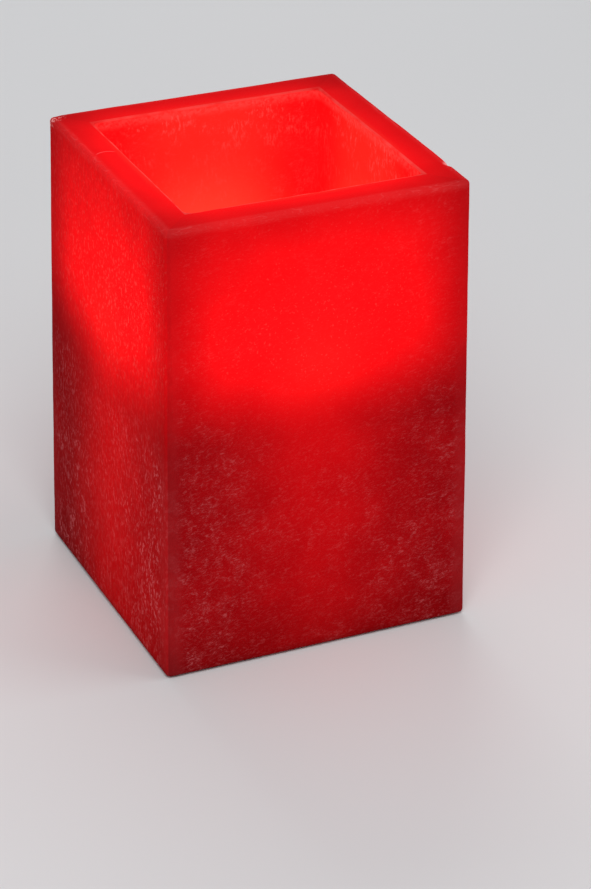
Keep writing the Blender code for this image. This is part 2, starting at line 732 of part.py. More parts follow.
def make_board_parts():
    foot = BOARD_TOP + FIT
    chip = (-9 * MM, BOARD_Y + 0.5 * MM)
    box(
        "timer_chip",
        (chip[0] - 2.5 * MM, chip[1] - 2 * MM, foot),
        (chip[0] + 2.5 * MM, chip[1] + 2 * MM, foot + 1.5 * MM),
        black_plastic(),
    )
    crystal = (9 * MM, BOARD_Y + 4 * MM)
    box(
        "crystal",
        (crystal[0] - 4 * MM, crystal[1] - 1.6 * MM, foot),
        (crystal[0] + 4 * MM, crystal[1] + 1.6 * MM, foot + 3.2 * MM),
        nickel(),
        1.5 * MM,
    )
    can = 2.5 * MM
    profile = [(can, foot), (can, foot + 6.5 * MM), (can - 0.4 * MM, foot + 7 * MM)]
    turned("capacitor", profile, black_plastic(), steps=16, centre=(16 * MM, BOARD_Y - 3 * MM))
    body = 1.1 * MM
    axis_z = foot + body
    ends = ((-3.1, 0.9), (-2.3, 1), (2.3, 1), (3.1, 0.9))
    loops = []
    for x, share in ends:
        ring = circle(body * share, 0, 10)
        loops.append([Vector((-17 * MM + x * MM, BOARD_Y - 4 * MM + p.x, axis_z + p.y)) for p in ring])
    loft("resistor", loops, material("resistor", (0.55, 0.42, 0.28), 0.5))


def make_switch():
    case_x = 6.3 * MM
    case_y = 2.9 * MM
    case = box(
        "switch_case",
        (-case_x, BOARD_Y - case_y, SWITCH_CASE_BOTTOM),
        (case_x, BOARD_Y + case_y, SWITCH_CASE_TOP),
        nickel(),
        0.4 * MM,
    )
    window_x = SWITCH_TRAVEL / 2 + 2 * MM
    window_y = 1.7 * MM
    roof = SWITCH_CASE_TOP - 1.4 * MM
    low = (-window_x, BOARD_Y - window_y, SWITCH_CASE_BOTTOM - 1 * MM)
    cut(case, tool_box("switch_window", low, (window_x, BOARD_Y + window_y, roof)))

    centre_x = -SWITCH_TRAVEL / 2
    half_x = 1.5 * MM
    half_y = 1.35 * MM
    tip = PLATE_BOTTOM + 0.3 * MM
    slider = box(
        "switch_slider",
        (centre_x - half_x, BOARD_Y - half_y, tip),
        (centre_x + half_x, BOARD_Y + half_y, roof - FIT),
        black_plastic(),
    )
    for i, x in enumerate((centre_x - 0.7 * MM, centre_x + 0.7 * MM)):
        low = (x - 0.25 * MM, BOARD_Y - 2 * MM, tip - 1 * MM)
        cut(slider, tool_box(f"slider_groove_{i}", low, (x + 0.25 * MM, BOARD_Y + 2 * MM, tip + 0.4 * MM)))


# ---- fasteners, feet and wires ------------------------------------------------------------------
def make_screw(name, place, head_outer, head_inner, tip, head_radius, thread_radius):
    """A pan-head screw with a cross recess. Its head may face down or up."""
    way = 1 if head_outer > head_inner else -1
    dome = 0.35 * MM * way
    profile = [
        (thread_radius * 0.35, tip),
        (thread_radius, tip + 1.2 * MM * way),
        (thread_radius, head_inner),
        (head_radius, head_inner),
        (head_radius, head_outer - dome),
        (head_radius * 0.7, head_outer),
    ]
    screw = turned(name, profile, nickel(), steps=16, centre=place)
    low_z, high_z = sorted((head_outer + 1 * MM * way, head_outer - 0.7 * MM * way))
    for i, (x, y) in enumerate(((1.5 * MM, 0.3 * MM), (0.3 * MM, 1.5 * MM))):
        low = (place[0] - x, place[1] - y, low_z)
        cut(screw, tool_box(f"{name}_recess_{i}", low, (place[0] + x, place[1] + y, high_z)))


def make_screws():
    head = 1.2 * MM
    inner = PLATE_BOTTOM + 1.8 * MM - FIT
    tip = PILOT_TOP - 1 * MM
    for number, place in enumerate(SCREW_PLACES, 1):
        make_screw(f"cover_screw_{number}", place, inner - head, inner, tip, 2.4 * MM, 1.1 * MM)
    inner = BOARD_TOP + FIT
    tip = PLATE_TOP + 0.8 * MM
    for number, place in enumerate(BOARD_SCREW_PLACES, 1):
        make_screw(f"board_screw_{number}", place, inner + head, inner, tip, 2.2 * MM, 1.0 * MM)


def make_feet():
    radius = 3.9 * MM
    edge = 0.3 * MM
    top = PLATE_BOTTOM + 0.6 * MM - FIT
    profile = [(radius - edge, 0), (radius, edge), (radius, top)]
    rubber = material("foot_rubber", (0.05, 0.05, 0.05), 0.8)
    for number, place in enumerate(FOOT_PLACES, 1):
        turned(f"rubber_foot_{number}", profile, rubber, centre=place)


def make_wires():
    red = material("red_wire", (0.6, 0.02, 0.02), 0.4)
    black = black_plastic()
    pad_z = BOARD_TOP + FIT
    joint_z = LEAD_BOTTOM - FIT
    step = 6 * WIRE_RADIUS
    for name, side, mat in (("wire_led_positive", 1, red), ("wire_led_negative", -1, black)):
        x = side * LEAD_SPACING / 2
        route = [
            Vector((x * 2, BOARD_Y - 5 * MM, pad_z)),
            Vector((x * 2, BOARD_Y - 5 * MM, 16 * MM)),
            Vector((x * 1.8, BOARD_Y - 7.5 * MM, 20.2 * MM)),
            Vector((x * 1.4, 9 * MM, 21.5 * MM)),
            Vector((x * 1.1, 2.2 * MM, 22.2 * MM)),
            Vector((x, 0.3 * MM, 26 * MM)),
            Vector((x + 1.2 * MM, 1.5 * MM, 36 * MM)),
            Vector((x + 1.6 * MM, 1.8 * MM, 48 * MM)),
            Vector((x + 0.4 * MM, 0.6 * MM, 58 * MM)),
            Vector((x, 0, 64 * MM)),
            Vector((x, 0, joint_z)),
        ]
        tube(name, smooth_route(route, step), WIRE_RADIUS, mat)
    tab_z = BAY_TOP + TAB_REACH + FIT + WIRE_RADIUS
    ends = (
        ("wire_battery_positive", 1, CELL_ROWS[2], red),
        ("wire_battery_negative", -1, CELL_ROWS[0], black),
    )
    for name, side, y, mat in ends:
        x = side * (CONTACT_FACE + CONTACT_THICKNESS / 2)
        pad_x = side * 20 * MM
        run = (y + BOARD_Y) / 2
        route = [
            Vector((x + side * 0.5 * MM, y - 1.2 * MM, tab_z)),
            Vector((x - side * 0.5 * MM, y + 2.0 * MM, tab_z)),
            Vector((x - side * 2 * MM, run, tab_z)),
            Vector((pad_x + side * 2 * MM, BOARD_Y - 7.2 * MM, tab_z - 0.6 * MM)),
            Vector((pad_x, BOARD_Y - 5.6 * MM, 16 * MM)),
            Vector((pad_x, BOARD_Y - 5.6 * MM, pad_z)),
        ]
        tube(name, smooth_route(route, step), WIRE_RADIUS, mat)


def main():
    clear_scene()
    make_wax_body()
    make_bulb()
    make_led_holder()
    make_led()
    make_sleeves()
    make_base_tray()
    make_glue_beads()
    make_module_cover()
    make_battery_door()
    make_cells()
    make_contacts()
    make_springs()
    make_board()
    make_board_parts()
    make_switch()
    make_screws()
    make_feet()
    make_wires()


main()
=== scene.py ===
"""Looks of the flameless LED candle: carved and bloomed wax lit from inside, a flame bulb, and the
battery module in the base. Metres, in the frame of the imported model, +Z up.
"""

import json
import math

import bmesh
import bpy
from mathutils import Matrix, Vector, noise


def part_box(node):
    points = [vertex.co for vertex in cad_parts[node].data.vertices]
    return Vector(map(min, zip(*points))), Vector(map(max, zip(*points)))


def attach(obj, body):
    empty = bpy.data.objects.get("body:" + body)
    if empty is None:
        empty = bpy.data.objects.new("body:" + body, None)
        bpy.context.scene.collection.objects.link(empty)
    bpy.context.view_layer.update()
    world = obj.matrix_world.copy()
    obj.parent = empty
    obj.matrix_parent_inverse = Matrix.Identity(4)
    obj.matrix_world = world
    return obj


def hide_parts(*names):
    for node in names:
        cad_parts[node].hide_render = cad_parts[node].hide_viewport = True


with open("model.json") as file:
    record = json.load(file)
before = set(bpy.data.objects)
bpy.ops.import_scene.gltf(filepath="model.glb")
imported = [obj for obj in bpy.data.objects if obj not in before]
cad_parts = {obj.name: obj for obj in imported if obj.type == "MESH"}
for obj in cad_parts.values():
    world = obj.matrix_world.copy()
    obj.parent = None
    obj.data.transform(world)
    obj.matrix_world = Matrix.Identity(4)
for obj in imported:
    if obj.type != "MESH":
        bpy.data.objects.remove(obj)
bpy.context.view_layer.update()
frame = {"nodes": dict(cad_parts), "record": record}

MM = 0.001

# ---- the pillar, as it was made in CAD --------------------------------------------------------
WAX_LOW, WAX_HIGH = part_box("wax_body")
BULB_LOW, BULB_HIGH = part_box("flame_bulb")
TRAY_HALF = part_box("base_tray")[1].x
FIT = 0.3 * MM
CANDLE_TOP = WAX_HIGH.z
WAX_BOTTOM = WAX_LOW.z
BASE_HALF = WAX_HIGH.x
DRAFT = 2 * MM  # how much nearer each face comes to the axis at the rim
RIM_HALF = BASE_HALF - DRAFT
WAX_CORNER = 2.0 * MM
RIM_ROUNDING = 1.2 * MM
HEM_ROUNDING = 1.0 * MM
MOUTH_HALF = 38.7 * MM
FOOT_HALF = 37.7 * MM
WELL_CORNER = 2.6 * MM
LIP_ROUNDING = 0.5 * MM
WELL_FILLET = 1.8 * MM
WELL_FLOOR = BULB_LOW.z - FIT
WEB_BOTTOM = WELL_FLOOR - 10 * MM
BULB_HOLE = 5.5 * MM
CAVITY_CORNER = 6 * MM
CAVITY_TOP_HALF = 36.5 * MM
CAVITY_FOOT_HALF = 37 * MM
LEDGE = WAX_BOTTOM + 4.1 * MM
RECESS_HALF = TRAY_HALF + FIT
RECESS_CORNER = 6 * MM

# ---- the light --------------------------------------------------------------------------------
GLOW_HEIGHT = WELL_FLOOR + 12 * MM  # where the bulb's light comes from
WARM_RED = (1.0, 0.0035, 0.0045)
WARM_ORANGE = (1.0, 0.115, 0.055)

# ---- the camera and the studio ----------------------------------------------------------------
CAMERA_AIM = Vector((8.2, -13.9, 52.2)) * MM
CAMERA_DISTANCE = 1.006
CAMERA_AZIMUTH = -24.22  # degrees; 0 looks along +Y
CAMERA_ELEVATION = 27.55
CAMERA_ROLL = 0.51
CAMERA_LENS = 128.0  # mm on a 36 mm sensor


# ---- materials --------------------------------------------------------------------------------
class Look:
    """A material with one Principled shader, and short calls that add nodes to it."""

    def __init__(self, name, roughness=0.5, metallic=0.0, specular=0.5):
        self.material = bpy.data.materials.new(name)
        self.material.use_nodes = True
        self.tree = self.material.node_tree
        self.shader = self.tree.nodes["Principled BSDF"]
        self.position = self.node("ShaderNodeTexCoord").outputs["Object"]
        self.set("Roughness", roughness)
        self.set("Metallic", metallic)
        self.set("Specular IOR Level", specular)

    def set(self, socket, value):
        """Set or link one of the shader's own sockets."""
        self.feed(self.shader.inputs[socket], value)

    def feed(self, socket, value):
        """Link a socket to another, or give it a colour or a number."""
        if isinstance(value, bpy.types.NodeSocket):
            self.tree.links.new(value, socket)
        elif socket.type == "RGBA":
            socket.default_value = (*value[:3], 1)
        else:
            socket.default_value = value

    def node(self, kind, inputs=None, **settings):
        """Add a node, and set or link its inputs by name or number."""
        node = self.tree.nodes.new(kind)
        for key, value in settings.items():
            setattr(node, key, value)
        for key, value in (inputs or {}).items():
            self.feed(node.inputs[key], value)
        return node

    def math(self, operation, a, b=0.0):
        return self.node("ShaderNodeMath", {0: a, 1: b}, operation=operation).outputs[0]

    def product(self, first, *others):
        """The product of values and sockets."""
        for other in others:
            first = self.math("MULTIPLY", first, other)
        return first

    def total(self, first, *others):
        """The sum of values and sockets."""
        for other in others:
            first = self.math("ADD", first, other)
        return first

    def step(self, value, start, end, low=0.0, high=1.0):
        """A smooth step from low, at start, to high, at end."""
        inputs = {"Value": value, "From Min": start, "From Max": end, "To Min": low, "To Max": high}
        if start > end:
            inputs.update({"From Min": end, "From Max": start, "To Min": high, "To Max": low})
        return self.node("ShaderNodeMapRange", inputs, interpolation_type="SMOOTHSTEP").outputs[0]

    def noise(self, size, detail, roughness=0.5, distortion=0.0, stretch=None, slant=0.0):
        """Noise whose features are about size metres across, drawn out along stretch.

        slant tilts them, in degrees, so that those drawn out along X rise as X grows.
        """
        vector = self.position
        if stretch:
            inputs = {"Vector": vector, "Scale": stretch, "Rotation": (0, math.radians(-slant), 0)}
            vector = self.node("ShaderNodeMapping", inputs, vector_type="TEXTURE").outputs[0]
        inputs = {
            "Vector": vector,
            "Scale": 1 / size,
            "Detail": detail,
            "Roughness": roughness,
            "Distortion": distortion,
        }
        return self.node("ShaderNodeTexNoise", inputs).outputs[0]

    def ridges(self, value, width):
        """Thin lines where a noise passes its middle."""
        away = self.math("ABSOLUTE", self.math("SUBTRACT", value, 0.5))
        return self.step(away, width, 0.0)

    def mix(self, factor, a, b):
        """Blend colours, or plain values, from a at 0 to b at 1."""
        node = self.node("ShaderNodeMix", data_type="RGBA")
        colour_a, colour_b, result = node.inputs[6], node.inputs[7], node.outputs[2]
        self.feed(node.inputs["Factor"], factor)
        self.feed(colour_a, a)
        self.feed(colour_b, b)
        return result

    def bump(self, height, distance, strength=1.0):
        """Raise the surface in the shading only."""
        inputs = {"Height": height, "Distance": distance, "Strength": strength}
        self.set("Normal", self.node("ShaderNodeBump", inputs).outputs[0])

    def axes(self):
        """The point's X, Y and Z in the candle's own frame."""
        return self.node("ShaderNodeSeparateXYZ", {0: self.position}).outputs


def distance_to(look, centre):
    """How far the shaded point is from a point of the object."""
    inputs = {0: look.position, 1: tuple(centre)}
    return look.node("ShaderNodeVectorMath", inputs, operation="DISTANCE").outputs["Value"]


def near_spot(look, centre, reach):
    """1 at a point of the object, falling to 0 at reach."""
    return look.step(distance_to(look, centre), reach, reach * 0.25)


RIM_CHIP = Vector((RIM_HALF, -34 * MM, CANDLE_TOP))
CORNER_BRUISE = Vector((-BASE_HALF + 3 * MM, BASE_HALF - 3.5 * MM, CANDLE_TOP))
FLOOR_SCAR = Vector((29 * MM, 29 * MM, WELL_FLOOR))
RIM_SCRATCH = Vector((-43.9 * MM, 10.4 * MM, CANDLE_TOP))  # the middle of its arc
SCRATCH_RADIUS = 4.3 * MM


class WaxPlace:
    """Where a point of the pillar lies, as values in the wax's material."""

    def __init__(self, look):
        self.look = look
        self.x, self.y, self.z = look.axes()
        self.across_x = look.math("ABSOLUTE", self.x)
        across_y = look.math("ABSOLUTE", self.y)
        self.wide = look.math("MAXIMUM", self.across_x, across_y)
        self.narrow = look.math("MINIMUM", self.across_x, across_y)
        self.over_x = look.step(look.math("SUBTRACT", self.across_x, across_y), -0.5 * MM, 0.5 * MM)
        self.from_bulb = distance_to(look, (0, 0, GLOW_HEIGHT))
        self.through = look.step(self.wide, MOUTH_HALF - 1 * MM, RIM_HALF)
        self.outside = look.step(self.wide, RIM_HALF - 2 * MM, RIM_HALF - 0.4 * MM)
        self.on_rim = look.step(self.z, CANDLE_TOP - 1.2 * MM, CANDLE_TOP - 0.4 * MM)
        self.above_web = look.step(self.z, WELL_FLOOR - 12 * MM, WELL_FLOOR + 26 * MM)
        on_skin = look.math("MAXIMUM", self.outside, self.on_rim)
        self.to_corner = look.step(look.product(self.narrow, on_skin), 30 * MM, BASE_HALF)

    def by_face(self, on_y, on_x):
        """One value on the two faces across Y, another on the two across X."""
        return self.look.step(self.over_x, 0, 1, on_y, on_x)


def glow_round_well(look, at):
    """The bright wax round the well, which the bulb shines straight into."""
    spread = look.math("POWER", look.math("DIVIDE", 50 * MM, at.from_bulb), 2)
    at_rim = at.by_face(1.09, 1.19)
    near_rim = look.step(at.z, CANDLE_TOP - 16 * MM, CANDLE_TOP - 1 * MM, 1.28, at_rim)
    crossing = look.mix(at.through, (1.6, 1.6, 1.6), near_rim)
    far_side = look.step(look.total(at.x, at.y), -15 * MM, 40 * MM)
    far_rim = look.product(at.on_rim, far_side, 0.3)
    crossing = look.product(crossing, look.math("SUBTRACT", 1, far_rim))
    lit = look.math("MINIMUM", look.product(spread, at.above_web, crossing), 1.05)

    # The arris between the two front faces keeps more light than the three others.
    off_front = look.step(look.total(at.x, at.y), -60 * MM, -5 * MM)
    dimming = look.step(off_front, 0, 1, at.by_face(0.4, 0.33), at.by_face(0.58, 0.47))
    return look.product(lit, look.math("SUBTRACT", 1, look.product(at.to_corner, dimming)))


def glow_below_well(look, at):
    """The dim light that leaks down the walls, most of it down the middle of each."""
    off_middle = look.math("POWER", look.math("DIVIDE", at.narrow, 18 * MM), 2)
    bell = look.math("EXPONENT", look.product(off_middle, -0.5))
    rise = look.product(look.math("DIVIDE", at.z, WELL_FLOOR), at.by_face(0.31, 0.26))
    leak = look.product(bell, look.total(rise, at.by_face(0.07, 0.12)))
    along_side = look.step(at.y, -BASE_HALF, BASE_HALF, 0.14, 0.02)
    everywhere = look.product(at.by_face(0.03, along_side), look.step(at.to_corner, 0, 1, 1, 0.8))
    off_foot = look.step(at.z, WAX_BOTTOM, WAX_BOTTOM + 3 * MM, 0.4, 1)
    below_web = look.math("SUBTRACT", 1, at.above_web)
    return look.product(look.total(leak, everywhere), below_web, at.outside, off_foot)


def wax_glow(look, at):
    """The colour and the strength of the wax's glow."""
    flicker = look.step(look.noise(22 * MM, 2), 0.25, 0.75, 0.95, 1.05)
    toward_back = look.step(at.y, -BASE_HALF, BASE_HALF, 1.16, 0.84)
    lean = look.step(look.product(at.over_x, at.outside), 0, 1, 1, toward_back)
    light = look.total(glow_round_well(look, at), glow_below_well(look, at))
    strength = look.product(light, flicker, lean)

    mid_wall = look.step(at.narrow, 34 * MM, 8 * MM, 0, 0.12)
    well_warmth = look.product(look.step(at.through, 0.25, 0), mid_wall)
    warmth = look.total(look.step(at.from_bulb, 55 * MM, 8 * MM), well_warmth)
    colour = look.mix(look.math("MINIMUM", warmth, 1), WARM_RED, WARM_ORANGE)
    return colour, strength


def wax_bloom_and_arris_highlight(look, at):
    """The pale crystals that wax sweats out: curly on two faces, in upright streaks on the others, and
    a painted highlight down each arris.
    """
    curls = look.step(look.noise(0.75 * MM, 4, 0.65, 0.9, (2.4, 2.4, 1), 12), 0.5, 0.68)
    flecks = look.step(look.noise(0.45 * MM, 2, 0.6, 0.3, (1.8, 1.8, 1), 12), 0.54, 0.74)
    curly = look.math("MAXIMUM", curls, look.product(flecks, 0.8))
    streaks = look.step(look.noise(1.1 * MM, 2, 0.65, 0.4, (1, 1, 1.7)), 0.5, 0.62)
    pattern = look.mix(at.over_x, curly, streaks)

    clumps = look.step(look.noise(5 * MM, 4, 0.62, 0.8), 0.44, 0.62)
    regions = look.step(look.noise(30 * MM, 2, 0.5), 0.36, 0.62)
    thick = look.total(look.product(clumps, regions, 0.28), look.product(clumps, 0.1), 0.14)
    thick = look.product(thick, at.by_face(1, 1.5))

    # A smooth band with an even veil runs down each arris, wider on the faces across X; that veil along
    # the arris is a painted highlight.
    arris_on_y = look.step(at.narrow, BASE_HALF - 7 * MM, BASE_HALF - 3 * MM)
    arris_on_x = look.step(at.narrow, BASE_HALF - 9 * MM, BASE_HALF - 2 * MM)
    near_arris = at.by_face(arris_on_y, arris_on_x)
    marks = look.product(pattern, thick, look.math("SUBTRACT", 1, look.product(near_arris, 0.8)))
    # The near-arris part of this veil is a painted highlight; the rest is thin bloom in the clumps.
    veil_and_arris_highlight = look.total(look.product(clumps, regions, 0.04), look.product(near_arris, 0.05))

    aside = look.step(at.narrow, 6 * MM, 40 * MM, 0.45, 1)
    low_on_y = look.step(at.z, WELL_FLOOR + 16 * MM, WELL_FLOOR - 40 * MM)
    low_on_x = look.step(at.z, WELL_FLOOR - 2 * MM, WELL_FLOOR - 22 * MM)
    everywhere = at.by_face(0.24, 0.1)
    low_down = look.product(at.by_face(low_on_y, low_on_x), look.math("SUBTRACT", 1, everywhere))
    off_rim = look.step(at.z, CANDLE_TOP - 1 * MM, CANDLE_TOP - 0.3 * MM, 1, 0.12)
    return look.product(look.total(marks, veil_and_arris_highlight), aside, look.total(low_down, everywhere), off_rim)


def pale_flecks(look, at):
    """Short bright flecks all over the outside, drawn out upright on the faces across X."""
    dots = look.step(look.noise(0.75 * MM, 1, 0.5, 0.3), 0.64, 0.74, 0, 0.7)
    upright = look.step(look.noise(1.1 * MM, 1, 0.5, 0.3, (1, 1, 1.3)), 0.57, 0.69)
    past_mouth = look.step(at.wide, MOUTH_HALF + 3 * MM, MOUTH_HALF + 5 * MM)
    below_rim = look.step(at.z, CANDLE_TOP - 1 * MM, CANDLE_TOP - 2.5 * MM)
    flecks = look.product(look.mix(at.over_x, dots, upright), at.by_face(0.34, 0.38))
    return look.product(flecks, past_mouth, below_rim)


def well_frost_and_lip_highlight(look, at):
    """Paler wax in the well: scrapes on its walls, a chalky strip under the rim, and a patchy painted
    highlight along the lip.
    """
    inside = look.step(at.wide, MOUTH_HALF + 0.9 * MM, MOUTH_HALF + 0.5 * MM)
    scrapes = look.step(look.noise(0.9 * MM, 3, 0.65, 0.3, (1, 1, 2.8)), 0.46, 0.68, 0, 0.8)
    blotches = look.step(look.noise(7 * MM, 4, 0.65), 0.44, 0.6)
    height = look.step(at.z, CANDLE_TOP - 20 * MM, CANDLE_TOP - 3 * MM, 0.2, 1)
    off_corner = look.step(at.narrow, 36 * MM, 26 * MM, 0.5, 1)
    patches = look.product(scrapes, blotches, height, off_corner)

    under_rim = look.step(at.z, CANDLE_TOP - 4.5 * MM, CANDLE_TOP - 1.5 * MM)
    chalky = look.step(look.noise(1.6 * MM, 3, 0.65, 0.4), 0.36, 0.6, 0.12, 0.5)
    strip = look.product(under_rim, chalky)

    # Painted highlight: a thin pale line round the lip, broken into patches by noise.
    at_top = look.step(at.z, CANDLE_TOP - 1.1 * MM, CANDLE_TOP - 0.4 * MM)
    at_mouth = look.step(at.wide, MOUTH_HALF - 0.6 * MM, MOUTH_HALF - 0.2 * MM)
    highlight_patchiness = look.step(look.noise(6 * MM, 2), 0.3, 0.6, 0.3, 1)
    lip = look.product(at_top, at_mouth, highlight_patchiness)
    thickest = look.math("MAXIMUM", look.math("MAXIMUM", patches, strip), lip)
    return look.product(thickest, inside)


def rim_wear(look, at):
    """Paler wax along the rim's outer arris, rubbed and scraped by handling."""
    rim_band = look.step(at.z, CANDLE_TOP - 3.2 * MM, CANDLE_TOP - 0.6 * MM)
    on_arris = look.product(rim_band, look.step(at.wide, RIM_HALF - 3 * MM, RIM_HALF - 1 * MM))
    scrapes = look.ridges(look.noise(3.4 * MM, 2, 0.5, 0.3, (4, 4, 0.5)), 0.02)
    rubbed = look.product(on_arris, look.step(look.noise(0.9 * MM, 4, 0.7), 0.55, 0.7))
    marks = look.math("MAXIMUM", look.product(scrapes, on_arris), look.product(rubbed, 0.8))
    return look.total(look.product(marks, 0.1), look.product(on_arris, 0.06))


def rim_scratch(look, at):
    """A short arc scratched into the top of the left wall."""
    off_arc = look.math("SUBTRACT", distance_to(look, RIM_SCRATCH), SCRATCH_RADIUS)
    line = look.step(look.math("ABSOLUTE", off_arc), 0.32 * MM, 0.08 * MM)
    return look.product(line, look.step(at.y, 13.2 * MM, 14.2 * MM), 0.16)


def wax_look():
    look = Look("red_wax", specular=0.002)
    at = WaxPlace(look)
    depth = look.step(look.noise(14 * MM, 3), 0.3, 0.7)
    plain = look.mix(depth, (0.27, 0.002, 0.004), (0.33, 0.003, 0.005))
    # Painted shade: the wax's own colour is darkened towards its foot, where little light reaches.
    painted_foot_shade = look.step(at.z, WAX_BOTTOM - 4 * MM, WAX_BOTTOM + 24 * MM, 0.62, 1)
    plain = look.mix(painted_foot_shade, (0, 0, 0), plain)
    # This is pale bloom, with a painted highlight down each arris mixed in.
    bloom_and_arris_highlight = wax_bloom_and_arris_highlight(look, at)
    colour = look.mix(bloom_and_arris_highlight, plain, (0.58, 0.13, 0.14))
    colour = look.mix(rim_wear(look, at), colour, (0.6, 0.2, 0.2))

    crumbs = look.step(look.noise(0.7 * MM, 2), 0.52, 0.66)
    bruise = look.product(near_spot(look, CORNER_BRUISE, 5 * MM), crumbs)
    chip = look.product(near_spot(look, RIM_CHIP, 2.4 * MM), 0.8)
    colour = look.mix(look.math("MAXIMUM", bruise, chip), colour, (0.85, 0.5, 0.48))
    colour = look.mix(rim_scratch(look, at), colour, (0.9, 0.4, 0.4))
    lumps = look.step(look.noise(3 * MM, 3), 0.4, 0.6)
    scar = look.product(near_spot(look, FLOOR_SCAR, 9 * MM), lumps)
    look.set("Base Color", look.mix(scar, colour, (0.2, 0.004, 0.004)))

    glow_colour, strength = wax_glow(look, at)
    # This frost holds pale wax, bloom and flecks, and painted highlights round the lip and down the
    # arrises.
    frost = look.total(well_frost_and_lip_highlight(look, at), look.product(bloom_and_arris_highlight, 0.4), pale_flecks(look, at))
    glow_colour = look.mix(look.math("MINIMUM", frost, 1), glow_colour, (1.0, 0.075, 0.065))
    look.set("Emission Color", glow_colour)
    scar_shade = look.math("SUBTRACT", 1, look.product(scar, 0.55))
    upright = look.step(look.noise(1 * MM, 2, 0.6, 0.3, (1, 1, 3)), 0.4, 0.6, 0.88, 1.0)
    off_x_faces = look.step(at.across_x, BASE_HALF - 3.4 * MM, BASE_HALF - 3 * MM, 1, 0)
    dashes = look.math("MAXIMUM", upright, off_x_faces)
    look.set("Emission Strength", look.product(strength, scar_shade, dashes))
    look.set("Roughness", look.step(bloom_and_arris_highlight, 0, 0.5, 0.42, 0.66))

    waves = look.product(look.noise(5 * MM, 2), 0.6)
    grain = look.product(look.noise(0.8 * MM, 3, 0.6), 0.35)
    look.bump(look.total(waves, grain, look.product(bloom_and_arris_highlight, 0.5)), 0.25 * MM, 0.6)
    return look.material


def bulb_look():
    """Frosted plastic, white-hot round the LED, yellow at its foot and orange towards the tip."""
    look = Look("flame_bulb", roughness=0.35)
    z = look.axes()[2]
    height = BULB_HIGH.z - BULB_LOW.z
    low = BULB_LOW.z
    foot = look.step(z, low + 0.05 * height, low + 0.25 * height)
    tip = look.step(z, low + 0.78 * height, low + 0.96 * height)
    colour = look.mix(foot, (1.0, 0.66, 0.04), (1.0, 0.93, 0.62))
    colour = look.mix(tip, colour, (0.9, 0.2, 0.02))
    frost = look.step(look.noise(0.8 * MM, 3), 0.3, 0.7, 0.9, 1.0)
    look.set("Base Color", look.mix(tip, (0.95, 0.82, 0.55), (0.5, 0.14, 0.03)))
    look.set("Emission Color", colour)
    rise = look.product(look.step(foot, 0, 1, 1.1, 2.6), look.step(tip, 0, 1, 1, 0.3), frost)
    look.set("Emission Strength", rise)
    look.bump(look.noise(0.6 * MM, 3), 0.05 * MM, 0.5)
    return look.material


def thread_look():
    """Singed thread, with a little of the bulb's light in it."""
    look = Look("wick_thread", roughness=0.9)
    strands = look.ridges(look.noise(0.5 * MM, 2, 0.5, 0.5, (1, 1, 3)), 0.2)
    look.set("Base Color", look.mix(strands, (0.55, 0.13, 0.05), (0.3, 0.05, 0.02)))
    look.set("Emission Color", look.mix(strands, (1.0, 0.12, 0.02), (0.8, 0.05, 0.01)))
    look.set("Emission Strength", 0.35)
    look.bump(strands, 0.08 * MM)
    return look.material


def plastic_look(name, light, dark, roughness):
    """Moulded plastic: a fine spark-eroded texture, and slight clouding."""
    look = Look(name)
    cloud = look.step(look.noise(9 * MM, 3), 0.3, 0.7)
    look.set("Base Color", look.mix(cloud, dark, light))
    pits = look.noise(0.35 * MM, 2, 0.6)
    look.set("Roughness", look.step(pits, 0.3, 0.7, roughness - 0.07, roughness + 0.07))
    look.bump(pits, 0.03 * MM, 0.5)
    return look.material


def metal_look(name, light, dark, roughness):
    """Plated steel with fine drawn lines and a little tarnish."""
    look = Look(name, metallic=1.0)
    tarnish = look.step(look.noise(4 * MM, 4, 0.6), 0.4, 0.75)
    look.set("Base Color", look.mix(tarnish, light, dark))
    lines = look.noise(0.25 * MM, 2, 0.5, 0, (8, 1, 1))
    look.set("Roughness", look.step(lines, 0.3, 0.7, roughness - 0.06, roughness + 0.1))
    look.bump(lines, 0.01 * MM, 0.6)
    return look.material


def board_look():
    """Green solder mask over faint copper tracks."""
    look = Look("solder_mask")
    inputs = {
        "Vector": look.position,
        "Scale": 1 / (9 * MM),
        "Mortar Size": 0.03,
        "Color1": (0, 0, 0),
        "Color2": (0, 0, 0),
        "Mortar": (1, 1, 1),
    }
    tracks = look.node("ShaderNodeTexBrick", inputs).outputs["Color"]
    cloud = look.step(look.noise(6 * MM, 2), 0.3, 0.7)
    mask = look.mix(cloud, (0.01, 0.16, 0.05), (0.015, 0.21, 0.07))
    look.set("Base Color", look.mix(look.product(tracks, 0.8), mask, (0.06, 0.36, 0.14)))
    look.set("Roughness", look.step(cloud, 0, 1, 0.3, 0.42))
    look.bump(tracks, 0.04 * MM, 0.6)
    return look.material


def glue_look():
    """Hot-melt glue, milky and faintly swirled."""
    look = Look("hot_melt_glue")
    swirl = look.step(look.noise(3 * MM, 3, 0.5, 1.0), 0.3, 0.7)
    look.set("Base Color", look.mix(swirl, (0.78, 0.74, 0.62), (0.88, 0.86, 0.78)))
    look.set("Roughness", look.step(swirl, 0, 1, 0.22, 0.36))
    look.bump(look.noise(2 * MM, 2), 0.15 * MM, 0.6)
    return look.material


def jacket_look():
    """A cell's dark, shrunk-on sleeve."""
    look = Look("cell_jacket")
    speckle = look.step(look.noise(0.4 * MM, 2), 0.4, 0.7)
    look.set("Base Color", look.mix(speckle, (0.02, 0.025, 0.035), (0.035, 0.04, 0.055)))
    look.set("Roughness", look.step(speckle, 0, 1, 0.22, 0.34))
    look.bump(look.noise(5 * MM, 2), 0.05 * MM, 0.4)
    return look.material


